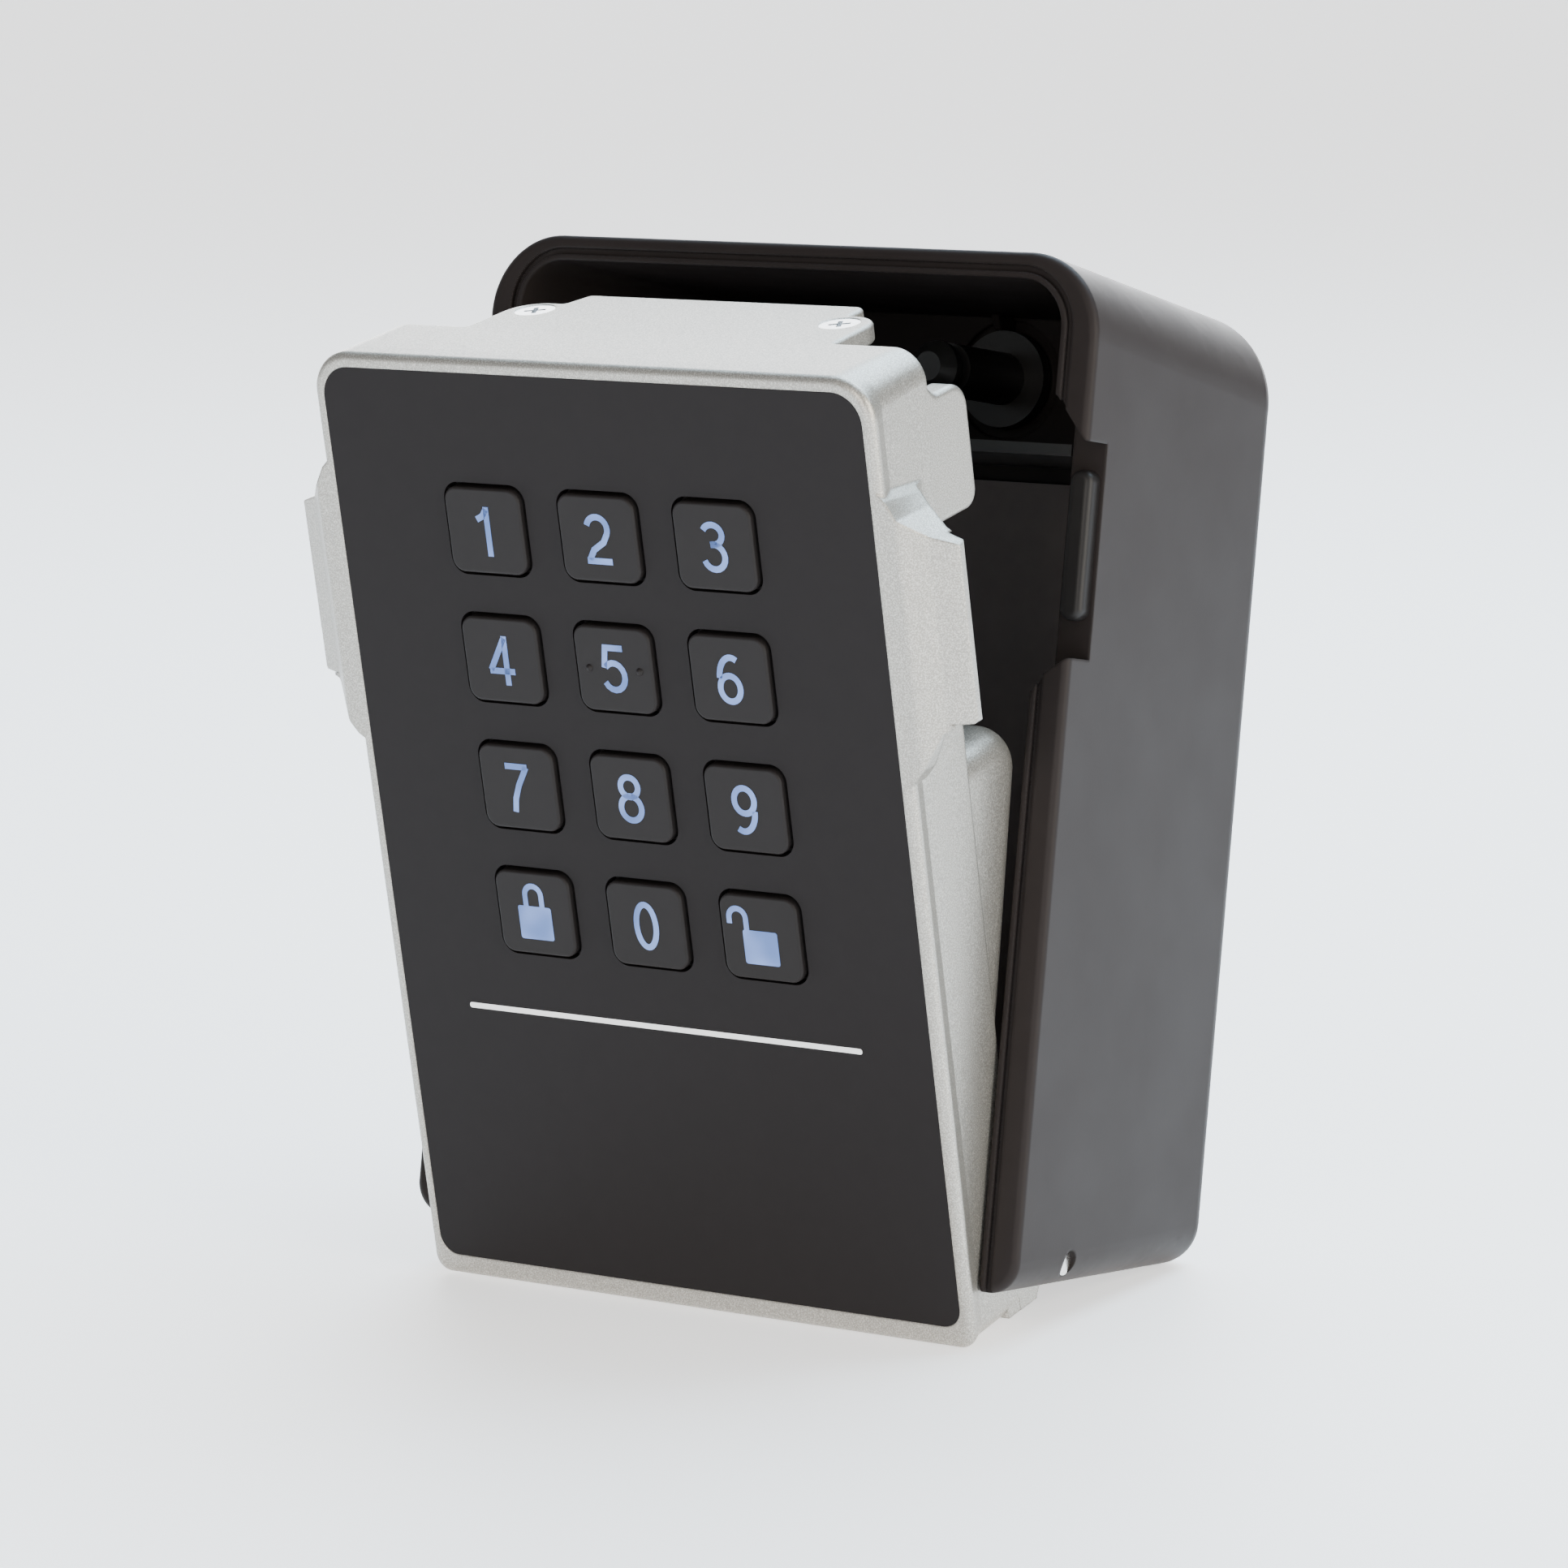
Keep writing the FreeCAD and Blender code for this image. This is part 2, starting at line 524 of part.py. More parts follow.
def make_door_frame():
    """Die-cast silver frame: rim, side walls, web, finger grips, cheek plates, roof and ears."""
    front = frame_corners(size.frame_half, size.frame_low, size.frame_top,
                          size.frame_corner_low, size.frame_corner)
    waist = frame_corners(size.frame_waist, size.frame_low, size.frame_top,
                          size.frame_corner_low - 0.2, size.frame_corner - 1.1)
    back = frame_corners(size.frame_back_half, size.frame_low, size.frame_top - 0.1,
                         size.frame_corner_low - 0.2, size.frame_corner - 1.6)
    rim = loft(front, waist, 0, size.frame_flank)
    rim = rim.makeFillet(size.front_round, edges_where(rim, lambda edge: flat_at(edge, 0)))
    walls = loft(waist, back, size.frame_flank, size.frame_depth)
    floor = block(Vector(-size.frame_back_half, size.frame_depth - 1, size.frame_low),
                  Vector(size.frame_back_half, size.floor_deep, size.frame_low + size.frame_wall))
    cheek = prism([(size.frame_depth - 1, size.frame_low, 0), (size.floor_deep, size.frame_low, 0),
                   (size.floor_deep, size.cheek_high, 0.8),
                   (size.frame_depth - 1, size.cheek_high + 4, 0)],
                  "yz", size.frame_back_half - size.frame_wall, size.frame_back_half)
    wings = both_sides(make_wing())
    tabs = both_sides(make_tab())
    ears, bore = make_ears()
    recess = slab(size.fascia_half, 0, size.fascia_high, size.fascia_corner_low,
                  size.fascia_corner, -1, size.fascia_thick)
    inner = size.frame_back_half - size.frame_wall
    top, low = size.frame_top - 0.1 - size.frame_wall, size.frame_low + size.frame_wall
    front_room = slab(inner, low + 0.6, top, 1, 3, size.fascia_thick, size.web_front)
    back_room = slab(inner, low, top, 1, 3, size.web_front + size.web_thick, size.frame_depth + 1)
    cell_window = slab(size.cell_long / 2 + 2, size.lid_low + 1, size.box_high - 3, 1, 1,
                       size.web_front - 1, size.web_front + size.web_thick + 1)
    solid = rim.fuse([walls, floor] + both_sides(cheek) + wings + tabs)
    solid = solid.cut([recess, front_room, back_room, cell_window])
    solid = solid.fuse([make_roof()] + ears)
    posts = [Part.makeCylinder(2.0, size.web_front - size.board_front - size.board_thick,
                               Vector(x, size.board_front + size.board_thick, z), Vector(0, 1, 0))
             for x, z in board_screw_places()]
    solid = solid.fuse(posts)
    threads = [Part.makeCylinder(0.8, 4, Vector(x, size.board_front + 1, z), Vector(0, 1, 0))
               for x, z in board_screw_places()]
    solid = solid.cut([bore] + [screw_sink(side) for side in (-1, 1)] + threads)
    return keep_shape(solid.removeSplitter(), "door_frame", DOOR_PLACE)


# ---------------------------------------------------------------- keypad

def make_fascia():
    """Black keypad plate with twelve key wells."""
    play = size.fascia_play
    plate = slab(size.fascia_half - play, play, size.fascia_high - play,
                 size.fascia_corner_low, size.fascia_corner, 0, size.fascia_thick)
    wells = [prism([(x + a * size.well_wide / 2, z + b * size.well_high / 2, size.well_corner)
                    for a, b in ((-1, -1), (1, -1), (1, 1), (-1, 1))],
                   "xz", -1, size.fascia_thick + 1) for _, x, z in key_places()]
    return keep_shape(plate.cut(wells), "fascia", DOOR_PLACE)


def make_mat():
    """Silicone sheet behind the fascia, open around each key's skirt."""
    sheet_solid = slab(size.mat_half, size.mat_low, size.mat_high, 3, 3, size.mat_front,
                       size.mat_front + size.mat_thick)
    reach = size.key_skirt + 0.35
    holes = [prism([(x + a * (size.well_wide / 2 + reach), z + b * (size.well_high / 2 + reach),
                     0.6) for a, b in ((-1, -1), (1, -1), (1, 1), (-1, 1))],
                   "xz", 0, 5) for _, x, z in key_places()]
    return keep_shape(sheet_solid.cut(holes), "keypad_mat", DOOR_PLACE)


def make_key(index, label):
    """One key: cap in the well, skirt behind the fascia, stem over the dome."""
    body = new_body(label)
    column, line = index % 3 - 1, index // 3
    across = f"{column} * Sizes.key_pitch_x"
    upward = f"Sizes.key_top_row - {line} * Sizes.key_pitch_z"
    wide, high = "Sizes.well_wide - 2 * Sizes.key_gap", "Sizes.well_high - 2 * Sizes.key_gap"
    skirt_back = "-(Sizes.mat_front + Sizes.key_flange)"
    cap = pad(body, rectangle_sketch(body, "XZ_Plane", [across, upward, skirt_back], wide, high,
                                     label + "_cap_outline"),
              "Sizes.mat_front + Sizes.key_flange + Sizes.key_raise", label + "_cap")
    block_round = round_edges(body, cap, depth_edges(cap.Shape), "Sizes.well_corner - Sizes.key_gap",
                              label + "_corners")
    round_edges(body, block_round, front_edges(block_round.Shape), "Sizes.key_bevel",
                label + "_bevel")
    pad(body, rectangle_sketch(body, "XZ_Plane", [across, upward, skirt_back],
                               "Sizes.well_wide + 2 * Sizes.key_skirt",
                               "Sizes.well_high + 2 * Sizes.key_skirt", label + "_skirt_outline"),
        "Sizes.key_flange", label + "_skirt")
    pad(body, circle_sketch(body, "XZ_Plane", [across, upward, "-Sizes.key_stem_end"],
                            "2 * Sizes.key_stem_radius", label + "_stem_circle"),
        "Sizes.key_stem_end - Sizes.mat_front", label + "_stem")
    return keep(body, label, DOOR_PLACE)


def board_screw_places():
    inset = 4.0
    return [(side * size.board_screw_x, level) for side in (-1, 1)
            for level in (size.board_low + inset, size.board_high - inset)]


def make_board():
    body = plate_body("circuit_board", ["0", "(Sizes.board_low + Sizes.board_high) / 2",
                                        "-(Sizes.board_front + Sizes.board_thick)"],
                      "2 * Sizes.board_half", "Sizes.board_high - Sizes.board_low",
                      "Sizes.board_thick", "2")
    for index, (x, z) in enumerate(board_screw_places()):
        sketch = circle_sketch(body, "XZ_Plane", [str(x), str(z), "-Sizes.board_front"], "1.6",
                               f"board_hole_{index}_circle")
        pocket(body, sketch, "Sizes.board_thick", f"board_hole_{index}")
    return keep(body, "circuit_board", DOOR_PLACE)


def make_board_screws():
    screws = []
    for x, z in board_screw_places():
        head = Part.makeCylinder(1.5, 1.0, Vector(x, size.board_front - 1.0, z), Vector(0, 1, 0))
        shank = Part.makeCylinder(0.8, size.board_thick + 2.0, Vector(x, size.board_front, z),
                                  Vector(0, 1, 0))
        screws.append(head.fuse(shank))
    return keep_shape(Part.makeCompound(screws), "board_screws", DOOR_PLACE)


def make_domes():
    domes = [Part.makeCone(size.dome_radius, size.dome_radius / 2, size.dome_proud,
                           Vector(x, size.board_front, z), Vector(0, -1, 0))
             for _, x, z in key_places()]
    return keep_shape(Part.makeCompound(domes), "contact_domes", DOOR_PLACE)


def make_leds():
    half = size.led_side / 2
    chips = [block(Vector(x - half, size.board_front - size.led_proud, z - size.led_offset - half),
                   Vector(x + half, size.board_front, z - size.led_offset + half))
             for _, x, z in key_places()]
    return keep_shape(Part.makeCompound(chips), "key_leds", DOOR_PLACE)


def make_board_chips():
    """Controller, motor driver, regulator and capacitors on the back of the board."""
    back = size.board_front + size.board_thick
    chips = [(-8, 84, 9, 9, 1.0), (8, 86, 5, 4, 0.9), (8, 78, 3, 3, 0.9), (-20, 84, 3.2, 1.6, 0.8),
             (-20, 78, 3.2, 1.6, 0.8), (-8, 74, 6, 2.5, 0.9), (10, 70, 6, 4, 0.9)]
    blocks = [block(Vector(x - wide / 2, back, z - high / 2), Vector(x + wide / 2, back + thick, z + high / 2))
              for x, z, wide, high, thick in chips]
    return keep_shape(Part.makeCompound(blocks), "board_chips", DOOR_PLACE)


def make_sounder():
    disc = doc.addObject("Part::Cylinder", "sounder_disc")
    disc.Radius = 6
    disc.Height = 0.6
    doc.recompute()
    lying = Placement(Vector(22, size.board_front + size.board_thick, 84), Rotation(Vector(1, 0, 0), -90))
    return keep(disc, "piezo_sounder", DOOR_PLACE * lying)


# ---------------------------------------------------------------- latch mechanism

def make_mechanism_case():
    """Casting under the door's roof that carries the motor and guides the latch fork."""
    roof = size.frame_top - 0.1 - size.roof_thick
    front = size.web_front + size.web_thick
    wall = size.mech_wall
    outer = prism([(-size.mech_half, size.mech_low, 1.5), (size.mech_half, size.mech_low, 1.5),
                   (size.mech_half, roof, 0), (-size.mech_half, roof, 0)], "xz", front, size.mech_deep)
    inner = block(Vector(wall - size.mech_half, front - 1, size.mech_low + wall),
                  Vector(size.mech_half - wall, size.mech_deep - wall, roof - wall))
    low_lug = roof - 7.0
    lugs = []
    for side in (-1, 1):
        lugs.append(Part.makeCylinder(size.lug_radius, roof - low_lug,
                                      Vector(side * size.lug_x, size.lug_deep, low_lug)))
        inner_edge, outer_edge = sorted((side * (size.mech_half - 0.5), side * size.lug_x))
        lugs.append(block(Vector(inner_edge, size.lug_deep - 2.5, low_lug),
                          Vector(outer_edge, size.lug_deep + 2.5, roof)))
    screw_holes = [Part.makeCylinder(size.top_screw_radius, 12,
                                     Vector(side * size.lug_x, size.lug_deep, roof - 7.5))
                   for side in (-1, 1)]
    post = door_point(Vector(size.post_x, size.post_tip, size.post_z))
    tip_hole = Part.makeCylinder(size.post_radius + 1.2, 4, Vector(post.x, size.mech_deep - 3, post.z),
                                 Vector(0, 1, 0))
    lane_low, lane_high = fork_neck_levels()
    left, right = fork_neck_span()
    slot = block(Vector(left - 0.5, size.mech_deep - 3, lane_low - 0.25),
                 Vector(right + size.fork_travel + 0.5, size.mech_deep + 1, lane_high + 0.25))
    solid = outer.cut(inner).fuse(lugs).cut(screw_holes + [tip_hole, slot])
    return keep_shape(solid.removeSplitter(), "mechanism_case", DOOR_PLACE)


def door_point(point):
    """A closed-door point of the case frame, in the door's frame."""
    return point - Vector(0, size.door_face_y, size.door_low_z)


def fork_neck_levels():
    """Bottom and top of the bar that joins the fork to its rack."""
    low = size.pinion_z + size.pinion_radius + 0.9
    return low, low + 2.0


def fork_neck_span():
    """Left and right side of the joining bar, retracted."""
    right = size.post_x - size.fork_travel - size.post_neck_radius - 2.9
    return right - 3.4, right


def tooth(pitch, root, tip, share):
    """A tapered tooth's outline from root to tip, about its middle line."""
    wide = pitch * share
    return [(-wide * 0.72, root), (wide * 0.72, root), (wide * 0.34, tip), (-wide * 0.34, tip)]


def make_fork():
    """Latch fork: slotted plate behind the case, joined through a slot to its rack inside."""
    post = door_point(Vector(size.post_x, size.post_neck_front, size.post_z))
    slot_mid = size.post_x - size.fork_travel
    slot_half = size.post_neck_radius + size.fork_gap
    tip = size.post_x - size.post_radius - 0.75
    low, high = post.z - slot_half - size.fork_tine, post.z + slot_half + size.fork_tine
    left = fork_neck_span()[0] - 1.0
    plate = prism([(left, low, 1.0), (tip, low, 0.6), (tip, high, 0.6), (left, high, 1.0)],
                  "xz", size.fork_front, size.fork_front + size.fork_thick)
    mouth = block(Vector(slot_mid, size.fork_front - 1, post.z - slot_half),
                  Vector(tip + 1, size.fork_front + 3, post.z + slot_half))
    seat = Part.makeCylinder(slot_half, 4, Vector(slot_mid, size.fork_front - 1, post.z), Vector(0, 1, 0))
    neck_low, neck_high = fork_neck_levels()
    neck_left, neck_right = fork_neck_span()
    neck = block(Vector(neck_left, size.gear_back - 0.5, neck_low),
                 Vector(neck_right, size.fork_front + 0.2, neck_high))
    pitch = 2 * math.pi * size.pinion_radius / size.pinion_teeth
    line = size.pinion_z + size.pinion_radius
    reach = size.fork_travel / 2 + 2.4
    middle = size.pinion_x - size.fork_travel / 2
    bar_low = line + 0.5
    bar = block(Vector(middle - reach, size.gear_front + 0.2, bar_low),
                Vector(middle + reach, size.gear_back, neck_high))
    count = int(reach / pitch)
    teeth = []
    for index in range(-count, count):
        centre = size.pinion_x + (index + 0.5 - round(size.fork_travel / 2 / pitch)) * pitch
        if middle - reach + 0.4 < centre < middle + reach - 0.4:
            shape = [(centre + a, 2 * line - b, 0)
                     for a, b in tooth(pitch, line - 0.6, line + 0.32, 0.36)]
            teeth.append(prism(shape, "xz", size.gear_front + 0.2, size.gear_back))
    solid = plate.cut([mouth, seat]).fuse([neck, bar] + teeth)
    return keep_shape(solid.removeSplitter(), "latch_fork", DOOR_PLACE)


def make_pinion():
    """Pinion on the motor's shaft, in mesh with the fork's rack."""
    pitch = 2 * math.pi * size.pinion_radius / size.pinion_teeth
    core = Part.makeCylinder(size.pinion_radius - 0.45, size.gear_back - size.gear_front,
                             Vector(0, size.gear_front, 0), Vector(0, 1, 0))
    teeth = []
    for index in range(int(size.pinion_teeth)):
        outline = [(a, b, 0) for a, b in
                   tooth(pitch, size.pinion_radius - 0.6, size.pinion_radius + 0.35, 0.36)]
        single = prism(outline, "xz", size.gear_front, size.gear_back)
        single.rotate(Vector(), Vector(0, 1, 0), index * 360 / size.pinion_teeth)
        teeth.append(single)
    shaft = Part.makeCylinder(size.shaft_radius, size.gear_back - size.motor_back + 0.6,
                              Vector(0, size.motor_back + 0.1, 0), Vector(0, 1, 0))
    solid = core.fuse(teeth + [shaft]).removeSplitter()
    solid.translate(Vector(size.pinion_x, 0, size.pinion_z))
    return keep_shape(solid, "drive_pinion", DOOR_PLACE)


def make_motor():
    can = doc.addObject("Part::Cylinder", "motor_can")
    can.setExpression("Radius", "Sizes.motor_radius")
    can.setExpression("Height", "Sizes.motor_back - Sizes.motor_front")
    doc.recompute()
    lying = Placement(Vector(size.pinion_x, size.motor_front, size.pinion_z),
                      Rotation(Vector(1, 0, 0), -90))
    return keep(can, "gear_motor", DOOR_PLACE * lying)


def make_motor_clip():
    """Saddle that holds the motor on the floor of the mechanism case."""
    low = size.mech_low + size.mech_wall
    base = block(Vector(size.pinion_x - 6, 11, low), Vector(size.pinion_x + 6, 19, size.pinion_z))
    hole = Part.makeCylinder(size.motor_radius + 0.02, 20,
                             Vector(size.pinion_x, 5, size.pinion_z), Vector(0, 1, 0))
    return keep_shape(base.cut(hole), "motor_saddle", DOOR_PLACE)


def make_top_screws():
    """Two countersunk cross-head screws through the door's roof."""
    top = size.frame_top - 0.1
    head_deep = size.top_screw_head - size.top_screw_radius
    screws = []
    for side in (-1, 1):
        place = Vector(side * size.lug_x, size.lug_deep, top - head_deep)
        head = Part.makeCone(size.top_screw_radius, size.top_screw_head - 0.08, head_deep - 0.08, place)
        shank = Part.makeCylinder(size.top_screw_radius, size.top_screw_long - head_deep,
                                  Vector(place.x, place.y, top - size.top_screw_long))
        screw = head.fuse(shank)
        for turn in (0, 90):
            slot = block(Vector(-1.3, -0.3, top - 0.9), Vector(1.3, 0.3, top + 1))
            slot.rotate(Vector(), Vector(0, 0, 1), turn + 25)
            slot.translate(Vector(place.x, place.y, 0))
            screw = screw.cut(slot)
        screws.append(screw)
    return keep_shape(Part.makeCompound(screws), "top_screws", DOOR_PLACE)


# ---------------------------------------------------------------- battery box

def box_slope():
    """Depth gained per millimetre of height along the battery box's back."""
    return (size.box_deep - size.box_toe) / (size.box_shoulder - size.box_low)


def wedge(inset, front, half):
    """The battery box's side outline, moved inwards, carried across the door."""
    rise = inset * math.hypot(1, box_slope())
    deep = size.box_deep - rise
    low = size.box_low + inset
    low_deep = size.box_toe + box_slope() * inset - rise
    radius = max(size.box_round - inset, 1)
    corners = [(front, low, 0), (max(low_deep, front + 0.2), low, 0),
               (deep, size.box_shoulder, 3), (deep + 0.3, size.box_high - inset, radius),
               (front, size.box_high - inset, 0)]
    return prism(corners, "yz", -half, half)


def lid_solid(play, inset):
    """A plate in the plane of the box's sloping back."""
    angle = math.degrees(math.atan(box_slope()))
    height = (size.lid_high - size.lid_low) * math.hypot(1, box_slope()) - 2 * play
    plate = slab(size.lid_half - play, play, height + play, 2, 2, -inset, 0)
    place = Vector(0, size.box_toe + box_slope() * (size.lid_low - size.box_low), size.lid_low)
    plate.Placement = Placement(place, Rotation(Vector(1, 0, 0), -angle))
    return plate


def make_battery_box():
    """Hollow wedge on the door's back; the sloping back has a recess for its lid."""
    front = size.web_front + size.web_thick
    outer = wedge(0, front, size.box_half)
    side_edges = edges_where(outer, lambda edge: abs(abs(edge.CenterOfMass.x) - size.box_half) < 1e-3
                             and edge.CenterOfMass.y > front + 6
                             and edge.CenterOfMass.z > size.box_low + 15)
    outer = outer.makeFillet(size.box_side_round, side_edges)
    beside_walls = both_sides(block(Vector(size.box_neck, 0, 0),
                                    Vector(size.box_half + 1, size.frame_depth + 0.1, size.box_high + 1)))
    room = wedge(size.box_wall, front - 1, size.box_neck - size.box_wall)
    solid = outer.cut(beside_walls + [room, lid_solid(0, size.box_wall + 3)])
    return keep_shape(solid.removeSplitter(), "battery_box", DOOR_PLACE)


def make_battery_lid():
    plate = lid_solid(size.lid_play, size.box_wall)
    return keep_shape(plate, "battery_lid", DOOR_PLACE)


def cell_places():
    """Depth and height of each cell's axis, side by side along the sloping back."""
    clear = (size.box_wall + size.cell_radius + size.cell_play) * math.hypot(1, box_slope())
    levels = [size.cell_top - index * size.cell_step for index in range(3)]
    return [(size.box_toe + box_slope() * (level - size.box_low) - clear, level) for level in levels]


def make_cells():
    cells = []
    for depth, level in cell_places():
        start = Vector(-size.cell_long / 2, depth, level)
        can = Part.makeCylinder(size.cell_radius, size.cell_long - 1, start, Vector(1, 0, 0))
        tip = Part.makeCylinder(1.9, 1, start + Vector(size.cell_long - 1, 0, 0), Vector(1, 0, 0))
        cells.append(can.fuse(tip))
    return keep_shape(Part.makeCompound(cells), "battery_cells", DOOR_PLACE)


def make_contacts():
    plates = []
    reach = size.cell_long / 2
    for depth, level in cell_places():
        for start in (-reach - 0.5, reach):
            plates.append(block(Vector(start, depth - 3.5, level - 3.5),
                                Vector(start + 0.5, depth + 3.5, level + 3.5)))
    return keep_shape(Part.makeCompound(plates), "battery_contacts", DOOR_PLACE)


# ---------------------------------------------------------------- assembly

make_housing()
make_strike_post()
make_hinge_pin()
make_grip_pad("grip_pad_left", -1)
make_grip_pad("grip_pad_right", 1)
make_shelf()
make_liner()
make_door_frame()
make_fascia()
make_mat()
for number, (key_name, _, _) in enumerate(key_places()):
    make_key(number, key_name)
make_board()
make_board_screws()
make_domes()
make_leds()
make_board_chips()
make_sounder()
make_mechanism_case()
make_fork()
make_pinion()
make_motor()
make_motor_clip()
make_top_screws()
make_battery_box()
make_battery_lid()
make_cells()
make_contacts()
doc.recompute()

failed = [item.Name for item in doc.Objects if "Invalid" in item.State or "Error" in item.State]
failed += [item.Label for item in subparts if item.Shape.isNull() or not item.Shape.isValid()]
if failed:
    raise RuntimeError("failed objects: " + ", ".join(failed))
os.makedirs("parts", exist_ok=True)
for item in subparts:
    item.Shape.exportStep(f"parts/{item.Label}.step")
    box = item.Shape.BoundBox
    print(f"{item.Label:16s} solids {len(item.Shape.Solids)} volume {item.Shape.Volume:9.1f} "
          f"x {box.XMin:7.2f} {box.XMax:7.2f} y {box.YMin:7.2f} {box.YMax:7.2f} "
          f"z {box.ZMin:7.2f} {box.ZMax:7.2f}")
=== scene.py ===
"""Looks of the wall key lock box: materials, legends, printed line, stage, light and camera.

Lengths are in metres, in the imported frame. Door pieces are placed in the door's own axes: X to the
right, INWARD into the box along the way a key is pressed, UP towards the door's top.
"""
import json
import math

import bmesh
import bpy
from mathutils import Matrix, Vector


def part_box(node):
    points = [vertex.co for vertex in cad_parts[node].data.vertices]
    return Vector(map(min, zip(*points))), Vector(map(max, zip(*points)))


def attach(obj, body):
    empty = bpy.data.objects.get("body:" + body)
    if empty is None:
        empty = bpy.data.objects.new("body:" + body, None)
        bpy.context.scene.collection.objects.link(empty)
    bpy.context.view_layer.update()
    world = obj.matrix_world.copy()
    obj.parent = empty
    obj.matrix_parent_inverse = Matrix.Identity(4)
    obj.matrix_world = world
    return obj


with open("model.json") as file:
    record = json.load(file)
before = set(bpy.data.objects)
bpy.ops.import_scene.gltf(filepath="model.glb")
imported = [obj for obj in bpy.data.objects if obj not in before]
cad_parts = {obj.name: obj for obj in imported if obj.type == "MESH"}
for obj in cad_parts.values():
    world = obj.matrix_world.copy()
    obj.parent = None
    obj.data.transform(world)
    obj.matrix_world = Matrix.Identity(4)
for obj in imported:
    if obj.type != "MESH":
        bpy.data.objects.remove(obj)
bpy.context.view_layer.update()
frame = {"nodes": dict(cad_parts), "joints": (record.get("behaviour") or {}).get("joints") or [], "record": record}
nodes = frame["nodes"]
joints = {joint["name"]: joint for joint in frame["joints"]}

MM = 0.001
ACROSS = Vector((1, 0, 0))
INWARD = Vector(joints["key_5_press"]["axis"]).normalized()
UP = ACROSS.cross(INWARD)
KEYS = ["key_1", "key_2", "key_3", "key_4", "key_5", "key_6",
        "key_7", "key_8", "key_9", "key_lock", "key_0", "key_unlock"]

# prints and raised dots
LEGEND_HIGH = 6.0 * MM
LEGEND_STROKE = 0.125           # a share of LEGEND_HIGH, as are the next two
DIGIT_HALF = 0.255
PADLOCK_SCALE = 1.15
DIMPLE = 0.5 * MM
DIMPLE_SPREAD = 3.5 * MM
INK = 0.03 * MM
LINE_HALF = 27.65 * MM
LINE_THICK = 0.68 * MM
LINE_DROP = 6.9 * MM            # below the lowest keys

# table under the leaning box
CASE_FOOT = Vector((0, -2.5, 1.7)) * MM     # where the case touches, from its low back edge
TABLE_GAP = 0.2 * MM
TABLE_REACH = 4.0

# studio: a world that is bright behind the object, and three panels aimed at AIM
BRIGHT_SIDE = (-0.54, 0.84, 0.0)
BRIGHT_FROM, BRIGHT_TO = 0.70, 0.96     # cosines to BRIGHT_SIDE: the glow's start, and its full
WORLD_DIM, WORLD_BRIGHT = 0.34, 9.5
WORLD_COLOR = (0.97, 0.98, 1.0)
AIM = Vector((0, -0.03, 0))
PANELS = {  # place, size, power in watts, colour
    "sky": ((0.05, 0.25, 1.0), (1.2, 1.0), 30.0, (0.66, 0.84, 1.0)),
    "window": ((1.15, -0.25, 0.30), (0.8, 0.8), 16.0, (1.0, 0.93, 0.81)),
    "fill": ((0.25, -1.15, 0.05), (0.5, 0.5), 5.0, (1.0, 0.92, 0.84)),
}

CAMERA_PLACE = Vector((392.99, -651.53, 13.23)) * MM
CAMERA_YAW, CAMERA_PITCH, CAMERA_ROLL = 32.736, 0.826, 4.84
CAMERA_LENS = 139.5             # for a sensor 36 mm wide
CAMERA_SENSOR = 36.0
CAMERA_NEAR, CAMERA_FAR = 0.01, 20.0


def on_door(across, deep, up):
    """A point given in the door's axes."""
    return ACROSS * across + INWARD * deep + UP * up


def door_extent(node):
    """A node's lowest and highest corner in the door's axes."""
    turned = [(v.co.dot(ACROSS), v.co.dot(INWARD), v.co.dot(UP))
              for v in nodes[node].data.vertices]
    return (Vector(min(p[i] for p in turned) for i in range(3)),
            Vector(max(p[i] for p in turned) for i in range(3)))


# ---------------------------------------------------------------- materials

def new_material(name, color, roughness, metallic=0.0, **sockets):
    """A Principled material with its constant values set on the shader's own sockets."""
    made = bpy.data.materials.new(name)
    made.use_nodes = True
    shader = made.node_tree.nodes["Principled BSDF"]
    shader.inputs["Base Color"].default_value = (*color, 1.0)
    shader.inputs["Roughness"].default_value = roughness
    shader.inputs["Metallic"].default_value = metallic
    for key, number in sockets.items():
        shader.inputs[key.replace("_", " ")].default_value = number
    return made


def add_node(made, kind, **values):
    """A shader node with its own settings or its sockets' values given by name."""
    node = made.node_tree.nodes.new(kind)
    for key, value in values.items():
        if hasattr(node, key):
            setattr(node, key, value)
        else:
            node.inputs[key.replace("_", " ")].default_value = value
    return node


def join(made, source, output, target, socket):
    made.node_tree.links.new(source.outputs[output], target.inputs[socket])


def object_noise(made, grain, detail):
    """Noise in object space; grain is the size of one speck in metres."""
    place = add_node(made, "ShaderNodeTexCoord")
    noise = add_node(made, "ShaderNodeTexNoise", Scale=1.0 / grain, Detail=detail)
    join(made, place, "Object", noise, "Vector")
    return noise


def add_bump(made, grain, depth, detail=2.0, after=None):
    """Fine relief: grain and depth in metres. Returns the bump node."""
    noise = object_noise(made, grain, detail)
    bump = add_node(made, "ShaderNodeBump", Strength=1.0, Distance=depth)
    join(made, noise, "Fac", bump, "Height")
    if after:
        join(made, after, "Normal", bump, "Normal")
    join(made, bump, "Normal", made.node_tree.nodes["Principled BSDF"], "Normal")
    return bump


def soften_edges(made, radius):
    """Shades sharp edges as if rounded by the radius in metres, under the material's bumps."""
    bevel = add_node(made, "ShaderNodeBevel", samples=4, Radius=radius)
    lowest = next(node for node in made.node_tree.nodes if node.bl_idname == "ShaderNodeBump"
                  and not node.inputs["Normal"].is_linked)
    join(made, bevel, "Normal", lowest, "Normal")


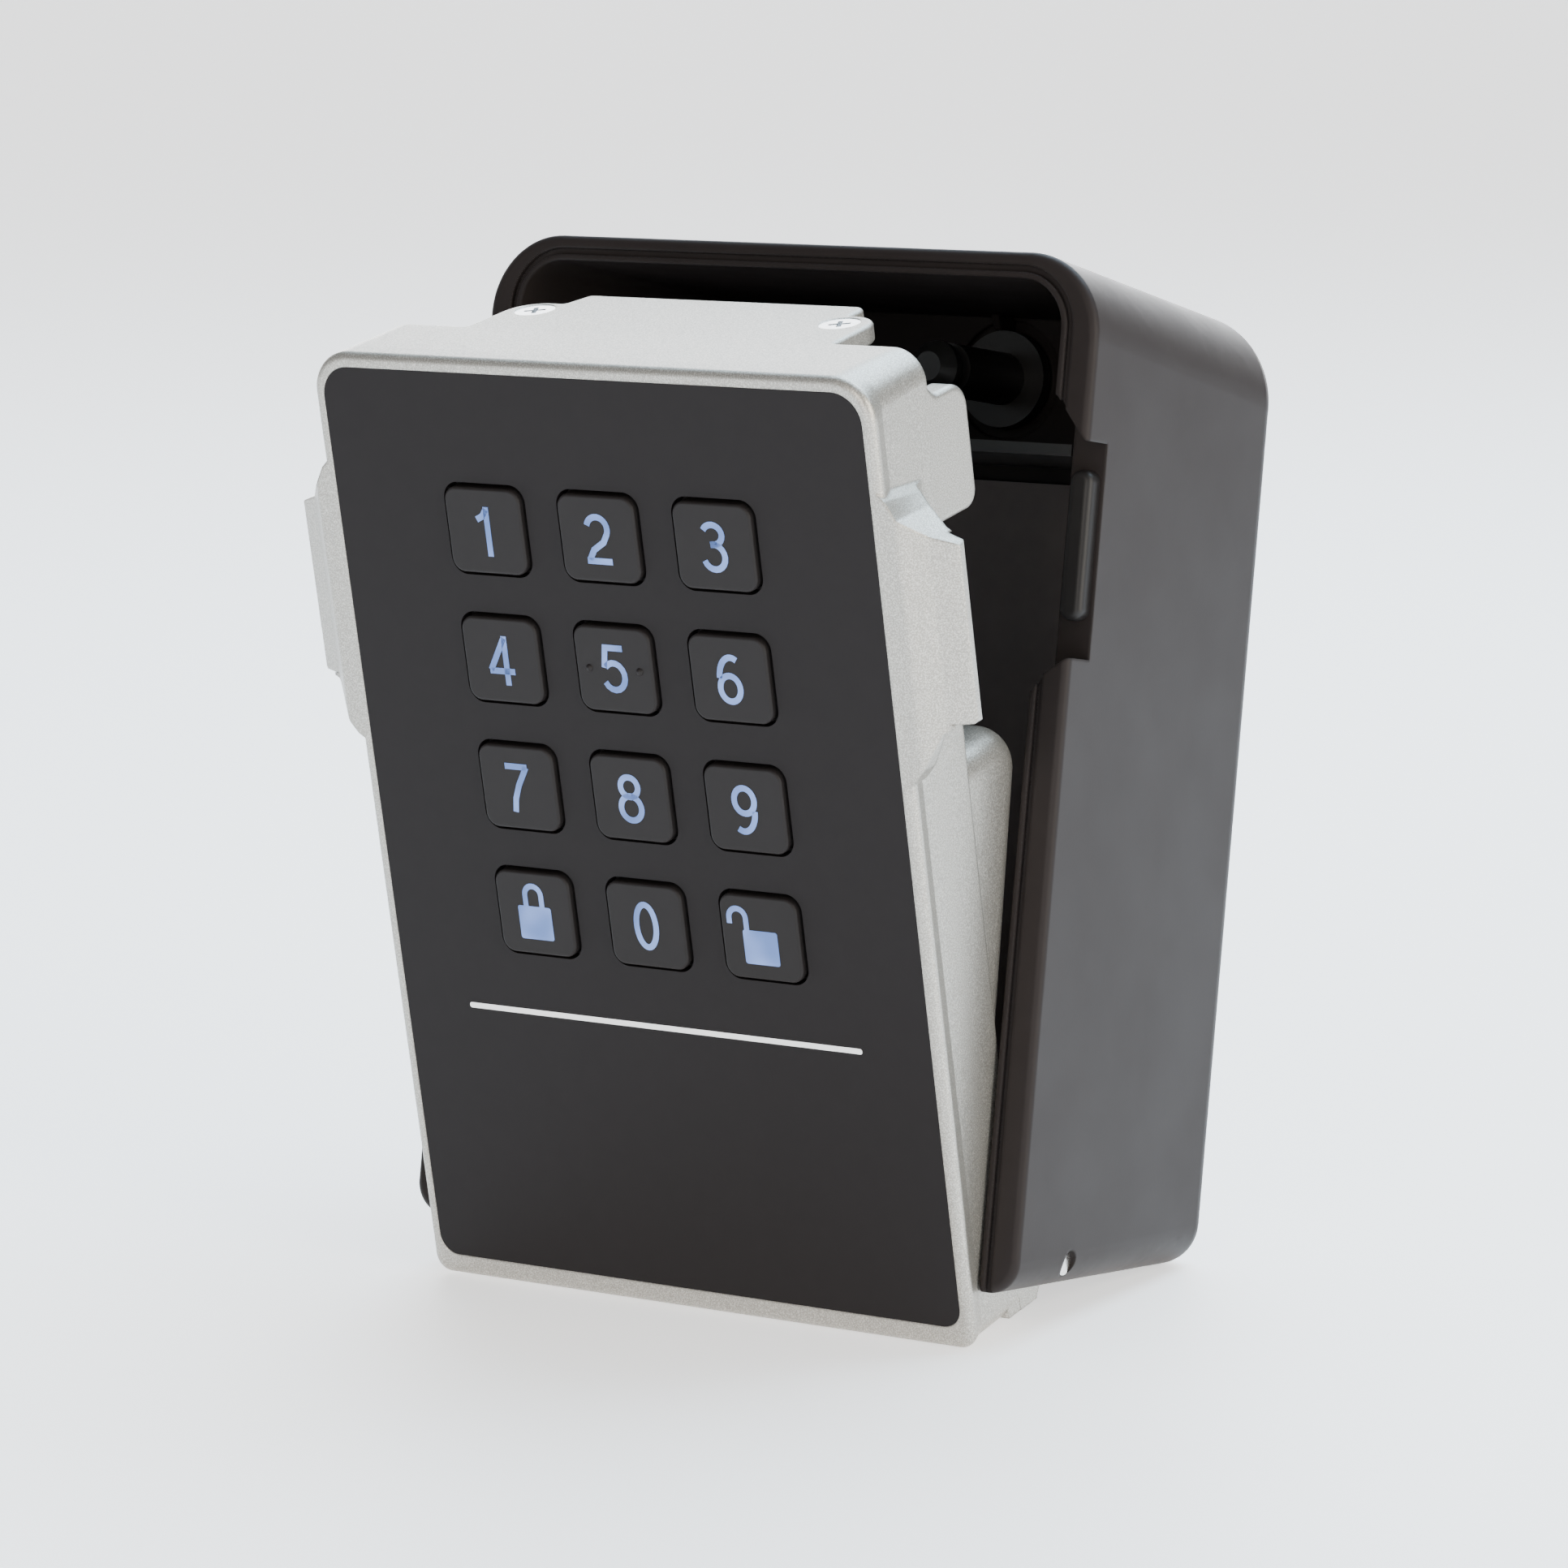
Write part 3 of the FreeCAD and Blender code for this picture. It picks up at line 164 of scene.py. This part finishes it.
def vary_color(made, low, high, grain, edge_low=0.4, edge_high=0.6, detail=2.0):
    """Base colour between two tones by noise. Returns the colour ramp."""
    noise = object_noise(made, grain, detail)
    ramp = add_node(made, "ShaderNodeValToRGB")
    for stop, edge, tone in zip(ramp.color_ramp.elements, (edge_low, edge_high), (low, high)):
        stop.position = edge
        stop.color = (*tone, 1)
    join(made, noise, "Fac", ramp, "Fac")
    join(made, ramp, "Color", made.node_tree.nodes["Principled BSDF"], "Base Color")
    return ramp


def vary_roughness(made, low, high, grain, detail=2.0):
    """Roughness between two values by noise."""
    noise = object_noise(made, grain, detail)
    span = add_node(made, "ShaderNodeMapRange", From_Min=0.3, From_Max=0.7, To_Min=low, To_Max=high)
    join(made, noise, "Fac", span, "Value")
    join(made, span, "Result", made.node_tree.nodes["Principled BSDF"], "Roughness")


def black_coat():
    """Satin black powder coat, faintly mottled."""
    made = new_material("black_coat", (0.019, 0.0155, 0.0150), 0.40, Specular_IOR_Level=0.10)
    vary_color(made, (0.0185, 0.0150, 0.0145), (0.0200, 0.0163, 0.0158), 0.004, 0.3, 0.7)
    vary_roughness(made, 0.40, 0.45, 0.012)
    add_bump(made, 0.00025, 0.000004)
    soften_edges(made, 0.0005)
    return made


def silver_paint(name="silver_paint", shade=1.0):
    """Silver metallic paint: tiny bright flakes in a pale grey coat; shade scales its tone."""
    low = tuple(shade * c for c in (0.32, 0.306, 0.276))
    high = tuple(shade * c for c in (0.57, 0.551, 0.505))
    made = new_material(name, low, 0.36, 0.75)
    vary_color(made, low, high, 0.00016, 0.42, 0.72, 1.0)
    vary_roughness(made, 0.30, 0.44, 0.0003, 1.0)
    orange_peel = add_bump(made, 0.0011, 0.000006)
    add_bump(made, 0.00018, 0.000012, 1.0, orange_peel)
    soften_edges(made, 0.00045)
    return made


def satin_plastic(name, color, roughness, shine=0.5):
    """Moulded or painted plastic, faintly uneven in tone and surface."""
    made = new_material(name, color, roughness, Specular_IOR_Level=shine)
    darker, lighter = (tuple(share * c for c in color) for share in (0.97, 1.03))
    vary_color(made, darker, lighter, 0.003, 0.3, 0.7)
    add_bump(made, 0.0002, 0.000002)
    return made


def bare_metal(name, color, roughness):
    """Uncoated metal, a little uneven in its gloss."""
    made = new_material(name, color, roughness, 1.0)
    vary_roughness(made, roughness * 0.8, roughness * 1.25, 0.0004)
    add_bump(made, 0.0004, 0.000002)
    return made


def legend_painted_glow():
    """Pale blue printed legend with a faint painted glow: its emission brightens the print, which is no lamp."""
    made = new_material("legend_blue_painted_glow", (0.12, 0.20, 0.50), 0.45)
    shader = made.node_tree.nodes["Principled BSDF"]
    ramp = vary_color(made, (0.09, 0.165, 0.42), (0.17, 0.27, 0.60), 0.004, 0.35, 0.65, 0.0)
    join(made, ramp, "Color", shader, "Emission Color")
    # painted glow: a faint emission that brightens the printed legend
    shader.inputs["Emission Strength"].default_value = 0.15
    return made


MATERIALS = {
    "black_coat": black_coat(),
    "black_steel": satin_plastic("black_steel", (0.02, 0.02, 0.02), 0.35),
    "pin_steel": bare_metal("pin_steel", (0.78, 0.76, 0.73), 0.28),
    "black_rubber": satin_plastic("black_rubber", (0.011, 0.010, 0.010), 0.42, 0.22),
    "black_plastic": satin_plastic("black_plastic", (0.02, 0.02, 0.02), 0.5),
    # liner: tone made paler as painted light, standing in for the light that fills the box's inside
    "liner": satin_plastic("liner", (0.15, 0.125, 0.12), 0.6),
    "silver_paint": silver_paint(),
    "silver_cast": silver_paint("silver_cast", 0.97),
    "silver_lid": silver_paint("silver_lid", 0.94),
    "fascia_black": satin_plastic("fascia_black", (0.0118, 0.0100, 0.0103), 0.5, 0.13),
    "key_black": satin_plastic("key_black", (0.0145, 0.0127, 0.0128), 0.45, 0.15),
    "silicone": satin_plastic("silicone", (0.05, 0.05, 0.05), 0.7),
    "board_green": satin_plastic("board_green", (0.01, 0.10, 0.04), 0.35),
    "zinc_screw": bare_metal("zinc_screw", (0.80, 0.82, 0.84), 0.22),
    "dome_steel": bare_metal("dome_steel", (0.7, 0.7, 0.7), 0.25),
    "led_white": satin_plastic("led_white", (0.85, 0.86, 0.88), 0.2),
    "chip_black": satin_plastic("chip_black", (0.015, 0.015, 0.016), 0.5),
    "brass_disc": bare_metal("brass_disc", (0.80, 0.62, 0.30), 0.3),
    "motor_steel": bare_metal("motor_steel", (0.6, 0.6, 0.61), 0.3),
    "cell_wrap": satin_plastic("cell_wrap", (0.03, 0.05, 0.10), 0.3),
    "fork_steel": bare_metal("fork_steel", (0.6, 0.6, 0.6), 0.32),
    "pinion_brass": bare_metal("pinion_brass", (0.80, 0.62, 0.30), 0.3),
}
LEGEND = legend_painted_glow()
# white print with a faint painted glow: its emission brightens the line, which is no lamp
PRINT_PAINTED_GLOW = new_material("white_print_painted_glow", (0.92, 0.92, 0.91), 0.5, Emission_Color=(1, 1, 1, 1),
                     Emission_Strength=0.12)


def dress_nodes():
    """Gives every CAD node the material of its record slot."""
    for part in frame["record"]["subparts"]:
        mesh = nodes[part["node"]].data
        mesh.materials.clear()
        mesh.materials.append(MATERIALS[part["material_slot"]])


# ---------------------------------------------------------------- legends

def arc(center, radius, start, end, steps=14):
    """Points on an ellipse's arc; radius is (x, y), angles in degrees."""
    points = []
    for step in range(steps + 1):
        angle = math.radians(start + (end - start) * step / steps)
        points.append((center[0] + radius[0] * math.cos(angle),
                       center[1] + radius[1] * math.sin(angle)))
    return points


def digit_strokes(digit):
    """Centre lines of a digit one unit high and about 0.6 wide, about its own middle."""
    w, h = DIGIT_HALF, 0.5
    top = h - LEGEND_STROKE / 2
    low = -top
    return {
        "0": [arc((0, 0), (w - 0.03, top), 0, 360, 36)],
        "1": [[(0.075, -h), (0.075, h - 0.01)],
              [(0.075, h - 0.06), (-0.02, h - 0.20), (-0.16, h - 0.27)]],
        "2": [arc((0, top - 0.235), (w - 0.02, 0.235), 165, -25) +
              [(0.12, -0.06), (-0.12, -0.22), (-w + 0.02, low + 0.02)],
              [(-w - 0.04, low), (w + 0.02, low)]],
        "3": [arc((-0.01, top - 0.195), (0.215, 0.195), 155, -90) + [(-0.07, 0.045)],
              [(-0.07, 0.045)] + arc((-0.01, low + 0.245), (0.24, 0.245), 90, -160)],
        "4": [[(0.10, -h), (0.10, h)], [(0.10, h - 0.04), (-w - 0.02, -0.20)],
              [(-w - 0.05, -0.215), (w + 0.03, -0.215)]],
        "5": [[(w - 0.02, top), (-w + 0.09, top), (-w + 0.03, 0.03)],
              arc((-0.015, -0.135), (0.245, 0.27), 138, -152)],
        "6": [arc((0.0, low + 0.255), (0.225, 0.255), 0, 360, 32),
              arc((0.06, 0.0), (0.28, top), 178, 62)],
        "7": [[(-w - 0.01, top), (w, top)],
              [(w - 0.02, top), (0.02, 0.06), (-0.09, -0.22), (-0.13, -h)]],
        "8": [arc((0, top - 0.20), (0.20, 0.20), 0, 360, 30),
              arc((0, low + 0.245), (0.235, 0.245), 0, 360, 30)],
        "9": [arc((0.0, top - 0.255), (0.225, 0.255), 0, 360, 32),
              arc((-0.06, 0.0), (0.28, top), -2, -118)],
    }[digit]


def add_ribbon(mesh, points, width, to_world):
    """A flat stroke of constant width along points, with mitred joints."""
    closed = (Vector(points[0]) - Vector(points[-1])).length < 1e-6
    line = [Vector(p) for p in (points[:-1] if closed else points)]
    count = len(line)
    rails = []
    for index, here in enumerate(line):
        back = line[index - 1] if (closed or index) else here
        ahead = line[(index + 1) % count] if (closed or index < count - 1) else here
        into = (here - back).normalized() if (here - back).length else (ahead - here).normalized()
        out = (ahead - here).normalized() if (ahead - here).length else into
        tangent = (into + out).normalized()
        stretch = 1.0 / max(tangent.dot(out), 0.5)
        normal = Vector((-tangent.y, tangent.x)) * width / 2 * stretch
        rails.append((mesh.verts.new(to_world(here + normal)),
                      mesh.verts.new(to_world(here - normal))))
    for index in range(count if closed else count - 1):
        (a, b), (c, d) = rails[index], rails[(index + 1) % count]
        mesh.faces.new((a, b, d, c))


def add_patch(mesh, points, to_world):
    """A flat face inside an outline."""
    mesh.faces.new([mesh.verts.new(to_world(Vector(p))) for p in points])


def rounded_rectangle(center, size, radius, steps=5):
    """Corner points, counter-clockwise."""
    points = []
    for turn, (a, b) in enumerate(((1, 1), (-1, 1), (-1, -1), (1, -1))):
        middle = (center[0] + a * (size[0] / 2 - radius),
                  center[1] + b * (size[1] / 2 - radius))
        points += arc(middle, (radius, radius), 90 * turn, 90 * turn + 90, steps)
    return points


def finish_mesh(name, mesh, material, body, thick=0.0):
    """Turns a bmesh into a piece that rides on a body; thick gives a flat one its thickness."""
    bmesh.ops.recalc_face_normals(mesh, faces=mesh.faces)
    data = bpy.data.meshes.new(name)
    mesh.to_mesh(data)
    mesh.free()
    piece = bpy.data.objects.new(name, data)
    bpy.context.scene.collection.objects.link(piece)
    data.materials.append(material)
    if thick:
        shell = piece.modifiers.new("thickness", "SOLIDIFY")
        shell.thickness = thick
        shell.offset = 0.0
    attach(piece, body)


def padlock(mesh, to_world, opened):
    """Padlock pictogram one unit high; the open one's shackle stands to the left."""
    add_patch(mesh, rounded_rectangle((0.0, -0.17), (0.68, 0.60), 0.045), to_world)
    shift = -0.42 if opened else 0.0
    side = 0.165
    bow = [(shift + side, 0.13)] + arc((shift, 0.33), (side, side), 0, 180) + [(shift - side, 0.13)]
    if opened:
        bow[-1] = (shift - side, 0.22)
    add_ribbon(mesh, bow, 0.10, to_world)


def make_legends():
    """Every key's sign, printed on its cap."""
    for key in KEYS:
        low, high = door_extent(key)
        middle = (low + high) / 2

        def to_world(point, middle=middle, front=low.y):
            return on_door(middle.x + point.x * LEGEND_HIGH, front - INK,
                           middle.z + point.y * LEGEND_HIGH)

        mesh = bmesh.new()
        mark = key.split("_")[1]
        if mark in ("lock", "unlock"):
            padlock(mesh, lambda point: to_world(point * PADLOCK_SCALE), mark == "unlock")
        else:
            for stroke in digit_strokes(mark):
                add_ribbon(mesh, stroke, LEGEND_STROKE, to_world)
        finish_mesh("legend_" + mark, mesh, LEGEND, key + "_cap", INK)


def make_dimples():
    """Two small raised dots beside the 5, for finding it by touch."""
    low, high = door_extent("key_5")
    middle = (low + high) / 2
    for name, side in (("dimple_left", -1), ("dimple_right", 1)):
        mesh = bmesh.new()
        bmesh.ops.create_icosphere(mesh, subdivisions=3, radius=DIMPLE)
        centre = on_door(middle.x + side * DIMPLE_SPREAD, low.y + 0.35 * DIMPLE, middle.z)
        bmesh.ops.translate(mesh, verts=mesh.verts, vec=centre)
        for face in mesh.faces:
            face.smooth = True
        finish_mesh(name, mesh, MATERIALS["key_black"], "key_5_cap")


def make_line():
    """Printed line under the keys, with a faint painted glow that brightens it."""
    front = door_extent("fascia")[0].y
    level = door_extent("key_0")[0].z - LINE_DROP
    mesh = bmesh.new()
    outline = rounded_rectangle((0, level), (2 * LINE_HALF, LINE_THICK), LINE_THICK * 0.45)
    add_patch(mesh, outline, lambda point: on_door(point.x, front - INK, point.y))
    finish_mesh("printed_line", mesh, PRINT_PAINTED_GLOW, "door", INK)


# ---------------------------------------------------------------- stage, light, camera

def make_stage():
    """Pale table under the leaning box, which stands on the door's and the case's lower edges."""
    case_low, case_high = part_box("housing")
    touch_front = Vector((0, front_edge_y(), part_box("door_frame")[0].z))
    touch_back = Vector((0, case_high.y, case_low.z)) + CASE_FOOT
    along = (touch_back - touch_front).normalized()
    normal = ACROSS.cross(along)
    middle = (touch_front + touch_back) / 2 - normal * TABLE_GAP
    mesh = bmesh.new()
    for a, b in ((-1, -1), (1, -1), (1, 1), (-1, 1)):
        mesh.verts.new(middle + (ACROSS * a + along * b) * TABLE_REACH)
    mesh.faces.new(mesh.verts)
    data = bpy.data.meshes.new("table_top")
    mesh.to_mesh(data)
    mesh.free()
    data.materials.append(new_material("table_white", (0.93, 0.93, 0.935), 0.6,
                                       Emission_Strength=1.05, Emission_Color=(1, 1, 1, 1)))
    table = bpy.data.objects.new("table_top", data)
    bpy.context.scene.collection.objects.link(table)


def front_edge_y():
    """Depth of the door's lowest corner."""
    return min(nodes["door_frame"].data.vertices, key=lambda v: v.co.z).co.y


def area_light(name, place, size, power, color):
    """A rectangular panel aimed at AIM."""
    data = bpy.data.lights.new(name, "AREA")
    data.shape = "RECTANGLE"
    data.size, data.size_y = size
    data.energy = power
    data.color = color
    lamp = bpy.data.objects.new(name, data)
    bpy.context.scene.collection.objects.link(lamp)
    lamp.location = place
    lamp.rotation_euler = (AIM - Vector(place)).to_track_quat("-Z", "Y").to_euler()


def make_light():
    """Studio world, brightest behind the object, with a sky, a window and a fill panel."""
    world = bpy.data.worlds.new("studio")
    world.use_nodes = True
    tree = world.node_tree
    background = tree.nodes["Background"]
    background.inputs["Color"].default_value = (*WORLD_COLOR, 1)
    place = tree.nodes.new("ShaderNodeTexCoord")
    aim = tree.nodes.new("ShaderNodeVectorMath")
    aim.operation = "DOT_PRODUCT"
    aim.inputs[1].default_value = BRIGHT_SIDE
    tree.links.new(place.outputs["Generated"], aim.inputs[0])
    span = tree.nodes.new("ShaderNodeMapRange")
    span.interpolation_type = "SMOOTHSTEP"
    for key, number in (("From Min", BRIGHT_FROM), ("From Max", BRIGHT_TO),
                        ("To Min", WORLD_DIM), ("To Max", WORLD_BRIGHT)):
        span.inputs[key].default_value = number
    tree.links.new(aim.outputs["Value"], span.inputs["Value"])
    tree.links.new(span.outputs["Result"], background.inputs["Strength"])
    bpy.context.scene.world = world
    for name, panel in PANELS.items():
        area_light(name, *panel)


def make_camera():
    """Long lens from the front right, the object's own lean taken up by the camera's roll."""
    data = bpy.data.cameras.new("camera")
    data.sensor_width = CAMERA_SENSOR
    data.lens = CAMERA_LENS
    data.clip_start, data.clip_end = CAMERA_NEAR, CAMERA_FAR
    camera = bpy.data.objects.new("camera", data)
    bpy.context.scene.collection.objects.link(camera)
    looking = (Matrix.Rotation(math.radians(CAMERA_ROLL), 3, "Z")
               @ Matrix.Rotation(math.radians(CAMERA_PITCH), 3, "X")
               @ Matrix(((1, 0, 0), (0, 0, -1), (0, 1, 0)))
               @ Matrix.Rotation(math.radians(-CAMERA_YAW), 3, "Z"))
    right, up, back = looking[0], -looking[1], -looking[2]
    turn = Matrix((right, up, back)).transposed().to_4x4()
    camera.matrix_world = Matrix.Translation(CAMERA_PLACE) @ turn
    bpy.context.scene.camera = camera


make_camera()
dress_nodes()
make_legends()
make_dimples()
make_line()
make_stage()
make_light()
